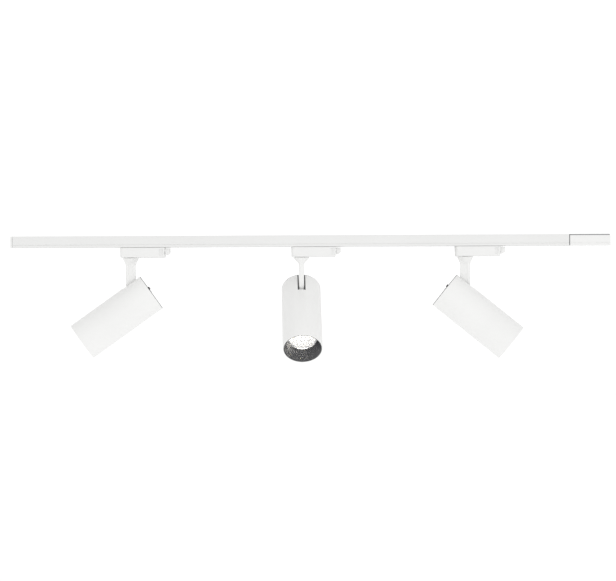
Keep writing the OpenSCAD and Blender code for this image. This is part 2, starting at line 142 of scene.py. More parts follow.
def ring_outline(r, centre, count=16):
    """A circle as a flat outline."""
    return [(x, y) for x, y, _ in ring(r, 0, count, centre)]


def soft_rect(low, high, radii, z, steps=6):
    """Points round a rectangle, with a radius for each corner, from the low one anticlockwise."""
    if not isinstance(radii, (list, tuple)):
        radii = [radii] * 4
    ends = [(low[0], low[1], 1, 1), (high[0], low[1], -1, 1),
            (high[0], high[1], -1, -1), (low[0], high[1], 1, -1)]
    found = []
    for k, (x, y, sx, sy) in enumerate(ends):
        r = radii[k]
        for n in range(steps + 1):
            a = math.radians(180 + 90 * k + 90 * n / steps)
            found.append((x + sx * r + r * math.cos(a), y + sy * r + r * math.sin(a), z))
    return found


def loft(rings, closed=False):
    """A skin through rings that have the same number of points, capped unless it closes on itself."""
    bm = bmesh.new()
    rows = [[bm.verts.new(p) for p in points] for points in rings]
    pairs = list(zip(rows, rows[1:]))
    if closed:
        pairs.append((rows[-1], rows[0]))
    for a, b in pairs:
        for i in range(len(a)):
            j = (i + 1) % len(a)
            bm.faces.new((a[i], a[j], b[j], b[i]))
    if not closed:
        bm.faces.new(rows[0][::-1])
        bm.faces.new(rows[-1])
    return tidied(bm)


def tidied(bm):
    """The same mesh with its faces turned outwards."""
    bmesh.ops.recalc_face_normals(bm, faces=bm.faces)
    bm.normal_update()
    return bm


def revolve(profile, count=96, closed=True):
    """A profile of (radius, height) points turned about Z."""
    return loft([ring(r, z, count) for r, z in profile], closed)


def prism(outline, depth, start=0.0):
    """A flat outline in X and Y, raised along Z."""
    return loft([[(x, y, start) for x, y in outline], [(x, y, start + depth) for x, y in outline]])


def box(low, high):
    """A plain block, for cutting with."""
    return loft([soft_rect(low, high, 0.001, z, 1) for z in (low[2], high[2])])


def soften(bm, width, angle=50, segments=2):
    """Rounds each edge that is sharper than angle."""
    sharp = [e for e in bm.edges
             if e.is_manifold and e.calc_face_angle(0) > math.radians(angle)]
    bmesh.ops.bevel(bm, geom=sharp, offset=width, segments=segments, profile=0.5,
                    affect="EDGES", clamp_overlap=True)
    return tidied(bm)


def turned(bm, matrix):
    """The same mesh, moved by the matrix."""
    bmesh.ops.transform(bm, matrix=matrix, verts=bm.verts)
    return tidied(bm)


def shifted(bm, x=0.0, y=0.0, z=0.0):
    """The same mesh, moved along."""
    return turned(bm, Matrix.Translation((x, y, z)))


def along_y(bm):
    """What was drawn in X and Y and raised along Z, stood up in X and Z and raised along -Y."""
    return turned(bm, Matrix.Rotation(math.radians(90), 4, "X"))


def as_object(bm):
    """A work object in the scene that holds the mesh."""
    mesh = bpy.data.meshes.new("work")
    bm.to_mesh(mesh)
    bm.free()
    thing = bpy.data.objects.new("work", mesh)
    bpy.context.scene.collection.objects.link(thing)
    return thing


def combined(bm, others, operation):
    """The solid cut by others (DIFFERENCE) or joined with them (UNION)."""
    target, tools = as_object(bm), [as_object(o) for o in others]
    for tool in tools:
        step = target.modifiers.new("step", "BOOLEAN")
        step.operation, step.object, step.solver = operation, tool, "EXACT"
    done = bmesh.new()
    done.from_object(target, bpy.context.evaluated_depsgraph_get())
    for thing in [target, *tools]:
        mesh = thing.data
        bpy.data.objects.remove(thing)
        bpy.data.meshes.remove(mesh)
    bmesh.ops.remove_doubles(done, verts=done.verts, dist=1e-4)
    bmesh.ops.dissolve_limit(done, angle_limit=math.radians(0.1), verts=done.verts, edges=done.edges)
    return tidied(done)


def cut(bm, *others):
    """The solid less the others."""
    return combined(bm, others, "DIFFERENCE")


def joined(bm, *others):
    """One solid of all of them."""
    return combined(bm, others, "UNION")


def beside(*parts):
    """Separate solids kept in one mesh."""
    whole = bmesh.new()
    for bm in parts:
        mesh = bpy.data.meshes.new("work")
        bm.to_mesh(mesh)
        bm.free()
        whole.from_mesh(mesh)
        bpy.data.meshes.remove(mesh)
    whole.normal_update()
    return whole


def show(name, bm, place, body, look, replaces=(), smooth=30):
    """Makes a drawn solid a shown piece that rides on a body. Edges turn sharp past smooth degrees."""
    mesh = bpy.data.meshes.new(name)
    bm.to_mesh(mesh)
    bm.free()
    mesh.transform(Matrix.Scale(MM, 4))
    mesh.polygons.foreach_set("use_smooth", [True] * len(mesh.polygons))
    mesh.set_sharp_from_angle(angle=math.radians(smooth))
    mesh.materials.append(look)
    piece = bpy.data.objects.new(name, mesh)
    bpy.context.scene.collection.objects.link(piece)
    piece.matrix_world = place
    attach(piece, body)
    if replaces:
        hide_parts(*replaces)
    return piece


def dress(node, look, edge):
    """Gives a CAD node its finish and soft edges, and leaves its mesh alone."""
    piece = frame["nodes"][node]
    piece.data.materials.clear()
    piece.data.materials.append(look)
    weld = piece.modifiers.new("weld", "WELD")
    weld.merge_threshold = 1e-6
    bevel = piece.modifiers.new("edges", "BEVEL")
    bevel.width, bevel.segments = edge * MM, 2
    bevel.limit_method, bevel.angle_limit = "ANGLE", math.radians(40)
    piece.data.polygons.foreach_set("use_smooth", [True] * len(piece.data.polygons))
    smoother = piece.modifiers.new("normals", "WEIGHTED_NORMAL")
    smoother.keep_sharp = True


# ---------- places, from the frame ----------

def joint(name):
    """A joint's record by its name."""
    return next(j for j in frame["joints"] if j["name"] == name)


def axes(x, z, origin):
    """A place whose X and Z lie along those directions."""
    y = z.cross(x)
    rows = [(x[i], y[i], z[i], origin[i]) for i in range(3)]
    return Matrix([*rows, (0, 0, 0, 1)])


def arm_place(head):
    """Origin at the tilt pivot, Z up, and the head aims along -X."""
    tilt = joint(f"{head}_tilt")
    aim = UP.cross(Vector(tilt["axis"]))
    return axes(-aim, UP, Vector(tilt["pos_m"]))


def head_place(head):
    """Origin at the middle of the tube's back, Z to the front, X towards the slot."""
    tilt = joint(f"{head}_tilt")
    angle = math.radians(-tilt["range_deg"][0])
    aim = UP.cross(Vector(tilt["axis"]))
    front = math.sin(angle) * aim - math.cos(angle) * UP
    slot_side = math.cos(angle) * aim + math.sin(angle) * UP
    back = Vector(tilt["pos_m"]) - MM * (PIVOT_UP * slot_side + PIVOT_BACK * front)
    return axes(slot_side, front, back)


def adapter_place(head):
    """Origin on the arm's axis, at the height of the track's top."""
    x = joint(f"{head}_pan")["pos_m"][0]
    return Matrix.Translation((x, 0, 0))


def local_box(node, place):
    """A node's corners in millimetres, in a place that isn't turned."""
    low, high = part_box(node)
    offset = place.translation
    return (low - offset) / MM, (high - offset) / MM


# ---------- materials ----------

class Look:
    """A procedural material whose colour, gloss and relief vary over the piece."""

    def __init__(self, name, colour, rough, metallic=0.0):
        self.material = bpy.data.materials.new(name)
        self.material.use_nodes = True
        self.tree = self.material.node_tree
        self.shader = self.tree.nodes["Principled BSDF"]
        self.shader.inputs["Metallic"].default_value = metallic
        self.coords = self.add("ShaderNodeTexCoord").outputs["Object"]
        self.colour, self.rough = colour, rough
        self.height = None

    def add(self, kind, **values):
        node = self.tree.nodes.new(kind)
        for name, value in values.items():
            setattr(node, name, value)
        return node

    def link(self, out, into):
        self.tree.links.new(out, into)

    def stretched(self, scale):
        """The object's own coordinates, stretched."""
        node = self.add("ShaderNodeMapping")
        node.inputs["Scale"].default_value = scale
        self.link(self.coords, node.inputs["Vector"])
        return node.outputs["Vector"]

    def noise(self, scale, detail=3.0, stretch=None):
        node = self.add("ShaderNodeTexNoise")
        node.inputs["Scale"].default_value = scale
        node.inputs["Detail"].default_value = detail
        self.link(self.stretched(stretch) if stretch else self.coords, node.inputs["Vector"])
        return node.outputs["Fac"]

    def mapped(self, value, low, high, start=0.3, end=0.7):
        node = self.add("ShaderNodeMapRange")
        self.link(value, node.inputs["Value"])
        node.inputs["From Min"].default_value = start
        node.inputs["From Max"].default_value = end
        node.inputs["To Min"].default_value = low
        node.inputs["To Max"].default_value = high
        return node.outputs["Result"]

    def mixed(self, factor, first, second):
        node = self.add("ShaderNodeMix", data_type="RGBA")
        self.link(factor, node.inputs["Factor"])
        for socket, value in ((node.inputs["A"], first), (node.inputs["B"], second)):
            if isinstance(value, tuple):
                socket.default_value = (*value, 1)
            else:
                self.link(value, socket)
        return node.outputs["Result"]

    def tint(self, scale, amount, stretch=None):
        """Slow changes of colour over the surface."""
        lighter = tuple(min(1.0, c * (1 + amount)) for c in self.colour)
        darker = tuple(c * (1 - amount) for c in self.colour)
        blend = self.mapped(self.noise(scale, 4.0, stretch), 0, 1)
        self.shade = self.mixed(blend, darker, lighter)
        return self

    def wear_and_edge_highlight(self, colour, radius, strength):
        """Wear along the edges, and on the black cone a painted highlight along the ridges of its pyramids: where
        the surface turns within radius, broken up by noise.
        """
        bevel = self.add("ShaderNodeBevel", samples=4)
        bevel.inputs["Radius"].default_value = radius * MM
        turn = self.add("ShaderNodeVectorMath", operation="DOT_PRODUCT")
        self.link(bevel.outputs["Normal"], turn.inputs[0])
        self.link(self.add("ShaderNodeNewGeometry").outputs["Normal"], turn.inputs[1])
        edge = self.mapped(turn.outputs["Value"], strength, 0, 0.80, 0.97)
        both = self.add("ShaderNodeMath", operation="MULTIPLY")
        self.link(edge, both.inputs[0])
        self.link(self.mapped(self.noise(900, 2.0), 0.3, 1, 0.4, 0.6), both.inputs[1])
        self.shade = self.mixed(both.outputs["Value"], self.shade, colour)
        return self

    def banded(self, axis, start, colour):
        """Another colour past start along an axis; on the feed's base, what lies before start is painted shadow in
        its joint with the track.
        """
        parts = self.add("ShaderNodeSeparateXYZ")
        self.link(self.coords, parts.inputs["Vector"])
        past = self.add("ShaderNodeMath", operation="GREATER_THAN")
        self.link(parts.outputs[axis], past.inputs[0])
        past.inputs[1].default_value = start
        self.shade = self.mixed(past.outputs["Value"], self.shade, colour)
        return self

    def gloss(self, scale, spread, stretch=None):
        """Small changes of roughness."""
        rough = self.mapped(self.noise(scale, 3.0, stretch), self.rough - spread, self.rough + spread)
        self.link(rough, self.shader.inputs["Roughness"])
        return self

    def relief(self, scale, depth, strength=0.5, stretch=None, detail=2.0):
        """Fine relief; depth is its height in millimetres."""
        bump = self.add("ShaderNodeBump")
        bump.inputs["Strength"].default_value = strength
        bump.inputs["Distance"].default_value = depth * MM
        self.link(self.noise(scale, detail, stretch), bump.inputs["Height"])
        if self.height:
            self.link(self.height, bump.inputs["Normal"])
        self.height = bump.outputs["Normal"]
        return self

    def done(self):
        self.link(self.shade, self.shader.inputs["Base Color"])
        if self.height:
            self.link(self.height, self.shader.inputs["Normal"])
        return self.material


def powder_coat():
    """Satin white powder coat with its fine orange peel."""
    look = Look("white_powder_coat", (0.828, 0.828, 0.819), 0.42)
    look.tint(14, 0.012).wear_and_edge_highlight((0.86, 0.86, 0.85), 0.7, 0.5).gloss(60, 0.05)
    look.relief(1400, 0.03, 0.35).relief(320, 0.03, 0.25)
    return look.done()


def coated_extrusion():
    """The same paint on an extrusion, whose drawing lines show faintly along it; its colour is darker than the
    powder coat's, as painted shade on the track.
    """
    look = Look("white_coated_extrusion", (0.762, 0.763, 0.756), 0.38)
    look.tint(9, 0.012).wear_and_edge_highlight((0.86, 0.86, 0.85), 0.6, 0.5).gloss(40, 0.05, (0.05, 1, 1))
    look.relief(900, 0.02, 0.3, (0.02, 1, 1)).relief(1300, 0.02, 0.25)
    return look.done()


def moulded(name, colour, rough, depth=0.02, edge_colour=(0.9, 0.9, 0.89), sheen=0.5):
    """Moulded plastic with a fine spark-eroded grain, and a colour mixed in along its edges: wear, and on the
    black cone a painted highlight on its ridges.
    """
    look = Look(name, colour, rough)
    look.tint(20, 0.015).wear_and_edge_highlight(edge_colour, 0.5, 0.35).gloss(120, 0.05)
    look.relief(2600, depth, 0.4).relief(700, depth, 0.2)
    look.shader.inputs["Specular IOR Level"].default_value = sheen
    return look.done()


def feed_base_plastic():
    """The feed's base: dark grey painted shadow in its joint with the track, and a lighter plate past it."""
    look = Look("feed_base_grey_and_joint_shadow", (0.078, 0.078, 0.083), 0.5)
    # Up to the feed housing's end the dark grey is painted shadow in the joint; past it is the plate's own grey.
    look.tint(20, 0.015).banded("X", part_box("feed_housing")[0].x, (0.30, 0.30, 0.305))
    look.wear_and_edge_highlight((0.36, 0.36, 0.36), 0.5, 0.35).gloss(120, 0.05)
    look.relief(2600, 0.02, 0.4).relief(700, 0.02, 0.2)
    return look.done()


def drawn_metal(name, colour, rough, stretch, edge_colour):
    """Bare metal with the lines of its drawing or machining."""
    look = Look(name, colour, rough, metallic=1.0)
    look.tint(30, 0.05, stretch).wear_and_edge_highlight(edge_colour, 0.4, 0.5).gloss(300, 0.08, stretch)
    look.relief(1500, 0.01, 0.3, stretch)
    return look.done()


def cast_metal():
    """Blasted die-cast aluminium."""
    look = Look("cast_aluminium", (0.62, 0.63, 0.645), 0.42, metallic=1.0)
    look.tint(60, 0.05).wear_and_edge_highlight((0.85, 0.85, 0.86), 0.5, 0.6).gloss(400, 0.07)
    look.relief(1200, 0.03, 0.4)
    return look.done()


def mirror_film():
    """Satin metallised facets, which scatter part of the light."""
    look = Look("metallised_reflector", (0.96, 0.96, 0.96), 0.18, metallic=0.50)
    look.tint(40, 0.01).gloss(200, 0.03)
    look.relief(800, 0.004, 0.2)
    return look.done()


def phosphor():
    """Yellow phosphor under clear silicone, lit."""
    look = Look("phosphor_disc", (0.86, 0.68, 0.16), 0.28)
    look.tint(500, 0.05).gloss(200, 0.05)
    look.relief(2500, 0.02, 0.3)
    look.shader.inputs["Coat Weight"].default_value = 0.6
    look.shader.inputs["Coat Roughness"].default_value = 0.12
    look.shader.inputs["Emission Color"].default_value = (1, 0.97, 0.92, 1)
    look.shader.inputs["Emission Strength"].default_value = 13.5
    return look.done()


def ceramic():
    """White board round the lit disc."""
    look = Look("ceramic_board", (0.82, 0.82, 0.80), 0.5)
    look.tint(300, 0.02).gloss(300, 0.05)
    look.relief(1800, 0.01, 0.3)
    return look.done()


COAT = powder_coat()
# The track's paint is the powder coat made darker, as painted shade.
EXTRUSION = coated_extrusion()
WHITE_PLASTIC = moulded("white_moulding", (0.803, 0.803, 0.796), 0.46)
# The end cap is the same white moulding made lighter, as painted light.
END_PLASTIC = moulded("white_end_moulding", (0.848, 0.848, 0.841), 0.46)
DARK_PLASTIC = moulded("dark_moulding", (0.045, 0.045, 0.048), 0.52, edge_colour=(0.12, 0.12, 0.12))
FEED_BASE_AND_JOINT_SHADOW = feed_base_plastic()
# The black cone's pale edge colour is a painted highlight along the ridges of its pyramids.
CONE_PLASTIC = moulded("black_cone_moulding", (0.044, 0.044, 0.048), 0.30, edge_colour=(0.62, 0.62, 0.64),
                       sheen=0.95)
GREY_PLASTIC = moulded("grey_insulation", (0.62, 0.625, 0.63), 0.42)
COPPER = drawn_metal("drawn_copper", (0.86, 0.46, 0.30), 0.26, (0.03, 1, 1), (0.95, 0.60, 0.45))
BRASS = drawn_metal("stamped_brass", (0.82, 0.64, 0.30), 0.28, (1, 0.2, 1), (0.92, 0.78, 0.48))
ZINC = drawn_metal("zinc_plated_steel", (0.60, 0.61, 0.63), 0.32, (1, 1, 0.15), (0.8, 0.8, 0.82))
ALUMINIUM = cast_metal()
MIRROR = mirror_film()
PHOSPHOR = phosphor()
CERAMIC = ceramic()


# ---------- the track ----------

def track_outline():
    """The track's section in (y, z), with its corners rounded."""
    low, high = (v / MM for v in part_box("track_rail"))
    half, foot = high.y, low.z
    lip, inner, slot = foot + 1.5, half - WALL, 10.0
    groove, into_groove = (foot + 4.9, foot + 4.1), half - 0.5
    rib, low_rib, high_rib = inner - 1.4, (-16.3, -15.5), (-3.5, -2.7)
    right = [(half, 0, 0.6), (half, groove[0], 0.1), (into_groove, groove[0], 0.1),
             (into_groove, groove[1], 0.1), (half, groove[1], 0.1), (half, foot, 0.7),
             (slot, foot, 0.5), (slot, lip, 0.5), (inner, lip, 0.3), (inner, low_rib[0], 0.2),
             (rib, low_rib[0], 0.2), (rib, low_rib[1], 0.2), (inner, low_rib[1], 0),
             (inner, high_rib[0], 0), (rib, high_rib[0], 0.2), (rib, high_rib[1], 0.2),
             (inner, high_rib[1], 0.2), (inner, -WALL, 0.4), (0.6, -WALL, 0), (0, 0.4 - WALL, 0)]
    left = [(-y, z, r) for y, z, r in right[-2::-1]]
    points = right + left
    return fillet([(y, z) for y, z, _ in points], [r for _, _, r in points], 3)


def track():
    """The extrusion, drilled through its top web for the ceiling screws."""
    low, high = (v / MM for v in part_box("track_rail"))
    rail = loft([[(x, y, z) for y, z in track_outline()] for x in (low.x, high.x)])
    drills = []
    for mount in frame["record"]["mounts"]:
        if mount["kind"] != "bolt_pattern":
            continue
        reach, r = mount["dims"]["spacing_x_mm"] / 2, mount["dims"]["hole_r_mm"]
        drills += [shifted(revolve([(r, -3.0), (r, 1.0)], 32, closed=False), x) for x in (-reach, reach)]
    show("track_extrusion", cut(rail, *drills), Matrix.Identity(4), "rail", EXTRUSION,
         ["track_rail"])


def track_inside():
    """Insulators and conductors."""
    for node in ("front_insulator", "rear_insulator"):
        dress(node, GREY_PLASTIC, 0.2)
    for node in ("live_conductor", "neutral_conductor"):
        dress(node, COPPER, 0.15)


def track_ends():
    """The end cap, the live-end feed and their screws."""
    dress("end_cap", END_PLASTIC, 0.25)
    dress("feed_housing", WHITE_PLASTIC, 0.15)
    dress("feed_base", FEED_BASE_AND_JOINT_SHADOW, 0.3)
    dress("feed_terminal_block", GREY_PLASTIC, 0.4)
    dress("feed_contacts", BRASS, 0.15)
    dress("rail_screws", ZINC, 0.15)


# ---------- the adapters ----------

def adapter_shell(head):
    """The drafted shell under the track, with its grip lines, window and swivel hole."""
    place = adapter_place(head)
    low, high = local_box(f"{head}_adapter_body", place)
    wall, floor, round_off = 1.8, 2.0, 1.6

    def layer(inset, z, shrink=0.0):
        corner = [max(6 - shrink - inset, 0.8), max(2 - shrink / 2 - inset, 0.6)]
        radii = [corner[0], corner[1], corner[1], corner[0]]
        edge = inset + shrink
        return soft_rect((low.x + edge, low.y + edge), (high.x - edge, high.y - edge), radii, z, 8)

    steps = [math.radians(90 * n / 4) for n in range(5)]
    draft = 0.5
    foot = [layer(draft + round_off * (1 - math.sin(a)), low.z + round_off * (1 - math.cos(a)))
            for a in steps]
    rim = [layer(0.25 * (1 - math.cos(a)), high.z - 0.25 * (1 - math.sin(a))) for a in steps]
    inside = [layer(0, high.z - 0.01, wall), layer(draft, low.z + floor, wall)]
    shell = loft(foot + rim + inside)
    beside_tab = TAB_W / 2 + TAB_GAP
    under_tab = TAB_BAR[0] - TAB_TRAVEL - TAB_GAP
    window = box((high.x - 4, -beside_tab, under_tab), (high.x + 1, beside_tab, 0))
    spindle = revolve([(SPIGOT_R + PLAY, low.z - 1), (SPIGOT_R + PLAY, low.z + floor + 1)], 48, closed=False)
    groove_low, groove_high = (0, -0.9, low.z + 3.2), (1.3, 0.9, high.z - 2)
    grooves = [
        shifted(box(groove_low, groove_high), GRIP_FROM + GRIP_PITCH * k, side * high.y)
        for k in range(3) for side in (-1, 1)
    ]
    shell = cut(shell, window, spindle, *grooves)
    show(f"{head}_adapter_shell", shell, place, f"{head}_adapter",
         WHITE_PLASTIC, [f"{head}_adapter_body"])


def lock_tab(head):
    """The pull-down tab, with three grip ridges across its outer end."""
    place = adapter_place(head)
    low, high = local_box(f"{head}_lock_tab", place)
    grip, end, top = high.x - 8.25, high.x, -22.3
    outline = fillet(
        [(grip, top), (end - 0.4, top), (end, top - 1), (end, top - 8.3), (end - 1.4, top - 10.3),
         (end - 4.6, top - 11.9), (grip, top - 11.9), (grip, TAB_BAR[0]), (low.x, TAB_BAR[0]),
         (low.x, TAB_BAR[1]), (grip, TAB_BAR[1])],
        [0.5, 0.4, 0.8, 1.0, 1.0, 0.8, 0.5, 0, 0.4, 0.4, 0], 3)
    tab = shifted(along_y(prism(outline, high.y - low.y)), y=high.y)
    lug = soften(box((low.x, -3, -28), (low.x + 6, 3, high.z)), 0.5)
    tab = joined(tab, lug)
    ridges = [
        along_y(shifted(prism(ring_outline(0.35, (end - 0.1, z)), TAB_W - 6), z=3 - TAB_W / 2))
        for z in (top - 3, top - 5, top - 7)
    ]
    tab = joined(tab, *ridges)
    show(f"{head}_lock_lever", soften(tab, 0.25, 60), place, f"{head}_latch",
         WHITE_PLASTIC, [f"{head}_lock_tab"])


def latch_spring(head):
    """A wire coil with closed ends, drawn at rest on a mesh of its own; nothing here flattens it as the lock tab
    comes down.
    """
    place = adapter_place(head)
    low, high = local_box(f"{head}_latch_spring", place)
    bottom, top = low.z + SPRING_WIRE_R, high.z - SPRING_WIRE_R
    count, sides = 28 * SPRING_TURNS, 10
    rings = []
    for n in range(count + 1):
        t = n / count
        a = 2 * math.pi * SPRING_TURNS * t
        climb = (t - math.sin(2 * math.pi * t) / (2 * math.pi))
        z = bottom + (top - bottom) * climb
        out = Vector((math.cos(a), math.sin(a), 0))
        rings.append([
            tuple(out * (SPRING_R + SPRING_WIRE_R * math.cos(b))
                  + Vector((SPRING_X, 0, z + SPRING_WIRE_R * math.sin(b))))
            for b in (2 * math.pi * k / sides for k in range(sides))
        ])
    piece = show(f"{head}_latch_coil", loft(rings), place, f"{head}_adapter", ZINC,
                 [f"{head}_latch_spring"], 60)
    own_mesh(piece)


def adapter(head):
    """All of one adapter."""
    adapter_shell(head)
    lock_tab(head)
    latch_spring(head)
    dress(f"{head}_adapter_cover", WHITE_PLASTIC, 0.3)
    dress(f"{head}_adapter_contacts", BRASS, 0.15)


# ---------- the arms ----------

def swivel_cone(head):
    """The collar: round at the top, and drawn in to the arm's section."""
    place = arm_place(head)
    low, high = (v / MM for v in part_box(f"{head}_swivel_collar"))
    pivot = joint(f"{head}_tilt")["pos_m"][2] / MM
    foot = low.z - pivot
    top = foot + 12.4
    half = (ARM_W / 2 + 0.5, ARM_T / 2 + 0.5)
    count, rings = 96, []

    def section(blend, inset, z):
        points = []
        for n in range(count):
            a = 2 * math.pi * n / count
            c, s = math.cos(a), math.sin(a)
            power = 5
            r = (abs(c / half[0]) ** power + abs(s / half[1]) ** power) ** (-1 / power)
            r = (r * blend + COLLAR_R * (1 - blend)) - inset
            points.append((r * c, r * s, z))
        return points

    steps = [math.radians(90 * n / 3) for n in range(4)]
    rings += [section(1, 0.5 * (1 - math.sin(a)), foot + 0.5 * (1 - math.cos(a))) for a in steps]
    waist, rim = foot + 1.4, top - 1.3
    for n in range(1, 13):
        t = n / 12
        rings.append(section(1 - t, 0, waist + (rim - waist) * t))
    rings += [section(0, 0.3 * (1 - math.cos(a)), top - 0.3 * (1 - math.sin(a))) for a in steps]
    cone = loft(rings)
    spigot_top = high.z - pivot
    spigot = revolve([(SPIGOT_R, top - 1), (SPIGOT_R, spigot_top - 0.5), (SPIGOT_R - 0.5, spigot_top)],
                     48, closed=False)
    pocket = box((-TONGUE[0] / 2, -TONGUE[1] / 2, foot - 1), (TONGUE[0] / 2, TONGUE[1] / 2, foot + TONGUE[2]))
    show(f"{head}_swivel_cone", cut(joined(cone, spigot), pocket), place, f"{head}_arm",
         COAT, [f"{head}_swivel_collar"], 35)


def strap(head):
    """The flat arm: a channel along each wide face, and a round end with the pivot's eye."""
    place = arm_place(head)
    pivot = joint(f"{head}_tilt")["pos_m"][2]
    top = (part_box(f"{head}_support_arm")[1].z - pivot) / MM - TONGUE[2]
    wide, thick, channel = ARM_W / 2, ARM_T / 2, CHANNEL_W / 2
    side = [(wide, -thick, 1.5), (wide, thick, 1.5), (channel, thick, 0.2),
            (channel - 0.3, thick - CHANNEL_DEEP, 0.2), (0.3 - channel, thick - CHANNEL_DEEP, 0.2),
            (-channel, thick, 0.2)]
    around = side + [(-x, -y, r) for x, y, r in side]
    section = fillet([(x, y) for x, y, _ in around], [r for _, _, r in around], 4)
    plain = [(x, math.copysign(thick, y)) if abs(x) < channel + 0.3 else (x, y) for x, y in section]
    levels = [(plain, 0), (plain, CHANNEL_LOW), (section, CHANNEL_LOW + 1.5), (section, top)]
    stem = loft([[(x, y, z) for x, y in points] for points, z in levels])
    eye = soften(shifted(along_y(prism(ring_outline(wide, (0, 0), 72), ARM_T)), y=ARM_T / 2), 0.6, 60, 3)
    tongue = box((-TONGUE[0] / 2, -TONGUE[1] / 2, top - 1), (TONGUE[0] / 2, TONGUE[1] / 2, top + TONGUE[2]))
    hole = along_y(revolve([(PIN_R + PLAY, -6), (PIN_R + PLAY, 6)], 48, closed=False))
    arm = cut(joined(stem, eye, tongue), hole)
    show(f"{head}_flat_arm", arm, place, f"{head}_arm", COAT, [f"{head}_support_arm"], 35)


def arm(head):
    """All that turns under the adapter."""
    swivel_cone(head)
    strap(head)
    dress(f"{head}_swivel_nut", ZINC, 0.3)
    dress(f"{head}_pivot_pin", ZINC, 0.3)


# ---------- the heads ----------

def tube_columns(r):
    """Points round the tube at radius r: across the slot first, then the rest of the way round."""
    across, rest = 10, 134
    half = SLOT_W / 2
    found = []
    for n in range(across):
        y = half * (2 * n / across - 1)
        found.append((math.sqrt(r * r - y * y), y))
    edge = math.asin(half / r)
    for n in range(rest):
        a = edge + (2 * math.pi - 2 * edge) * n / rest
        found.append((r * math.cos(a), r * math.sin(a)))
    return found, across


def head_shell(head):
    """The tube: rolled rims, a seat for the cone, and the arm's slot with square-cut walls."""
    corners = [(BORE_R, CAP_T, 0.2), (HEAD_R, CAP_T, 0.5), (HEAD_R, SLOT_L, 0), (HEAD_R, HEAD_L, 0.45),
               (SEAT_R, HEAD_L, 0.3), (SEAT_R, SEAT_W, 0), (BORE_R, SEAT_W, 0.2), (BORE_R, SLOT_L, 0)]
    profile = fillet([(r, w) for r, w, _ in corners], [f for _, _, f in corners], 4)
    bm = bmesh.new()
    rows = []
    for r, w in profile:
        points, across = tube_columns(r)
        rows.append([bm.verts.new((x, y, w)) for x, y in points])
    count = len(rows[0])
    level = [w for _, w in profile]
    for k in range(len(rows)):
        a, b = rows[k], rows[(k + 1) % len(rows)]
        in_slot = max(level[k], level[(k + 1) % len(rows)]) <= SLOT_L + 1e-6
        for i in range(across if in_slot else 0, count):
            j = (i + 1) % count
            bm.faces.new((a[i], a[j], b[j], b[i]))
    # the slot's inner end, which joins the outside row and the bore row at that depth
    end = [k for k, w in enumerate(level) if abs(w - SLOT_L) < 1e-6]
    first, last = rows[end[0]], rows[end[1]]
    for i in range(across):
        bm.faces.new((first[i], first[i + 1], last[i + 1], last[i]))
    # the slot's two side walls, one face each, round the part of the profile behind its end
    wall = [k for k, w in enumerate(level) if w <= SLOT_L + 1e-6]
    start = wall.index(end[1])
    wall = wall[start:] + wall[:start]
    for column in (0, across):
        bm.faces.new([rows[k][column] for k in wall])
    for loose in [v for v in bm.verts if not v.link_faces]:
        bm.verts.remove(loose)
    shell = soften(tidied(bm), 0.35, 55)
    show(f"{head}_head_shell", shell, head_place(head), f"{head}_head", COAT,
         [f"{head}_head_tube"], 32)


def rear_plate(head):
    """The dark rear cap: a rolled rim, vent slits, a cable boss, and cheeks that line the arm's slot."""
    rim, plug = HEAD_R - 0.4, BORE_R - 0.1
    profile = fillet([(0.01, 0), (rim, 0), (rim, CAP_T), (plug, CAP_T), (plug, CAP_T + 3), (0.01, CAP_T + 3)],
                     [0, 0.4, 0.15, 0, 0.4, 0], 4)
    plate = revolve(profile, 144, closed=False)
    way = box((CAP_SLOT_UP, -CHEEK_IN, -1), (HEAD_R + 1, CHEEK_IN, 6))
    slits = [vent_slit(VENT_FROM - VENT_PITCH * k, half) for k, half in enumerate(VENT_HALVES)]
    stub = fillet([(0.01, 1), (BOSS_R, 1), (BOSS_R, -BOSS_L), (0.01, -BOSS_L)], [0, 0, 0.9, 0], 4)
    boss = shifted(revolve(stub, 32, closed=False), CAP_SLOT_UP - BOSS_R - 0.6)
    plate = joined(cut(plate, way, *slits), boss, *[cheek(side) for side in (-1, 1)], slot_bar())
    show(f"{head}_rear_plate", plate, head_place(head), f"{head}_head", DARK_PLASTIC,
         [f"{head}_rear_cap"], 35)


def vent_slit(x, half):
    """What is cut away for one round-ended slit that starts at x."""
    wide, end_r = 1.6, 0.75
    outline = [(x, -half), (x + wide, -half), (x + wide, half), (x, half)]
    return prism(fillet(outline, end_r, 4), 8, -2)


def cheek(side):
    """One wall of the arm's slot, flush with the tube's outside and clear of the pivot's ears."""
    lip, end, bore = PIVOT_UP + 8.4, SLOT_L - 0.1, BORE_R - 1
    rings = []
    for y in (CHEEK_IN, CHEEK_IN + 0.7, CHEEK_OUT - 0.7, CHEEK_OUT):
        out = math.sqrt((HEAD_R - 0.4) ** 2 - y * y)
        outline = [(CAP_SLOT_UP, 0.01), (out, 0.01), (out, end), (bore, end), (bore, SLOT_L + 2),
                   (lip, SLOT_L + 2), (lip, CHEEK_L), (CAP_SLOT_UP, CHEEK_L)]
        outline = fillet(outline, [0, 0.3, 0.3, 0, 0.3, 0.3, 0.8, 0.8], 3)
        rings.append([(x, side * y, w) for x, w in outline])
    return loft(rings)


def slot_bar():
    """The bar that joins the two cheeks behind the slot's inner end."""
    outline = fillet([(PIVOT_UP + 8.4, SLOT_L), (BORE_R - 1, SLOT_L), (BORE_R - 1, SLOT_L + 2),
                      (PIVOT_UP + 8.4, SLOT_L + 2)], [0.2, 0.2, 0.4, 0.4], 3)
    return shifted(along_y(prism(outline, 2 * CHEEK_IN + 1)), y=CHEEK_IN + 0.5)


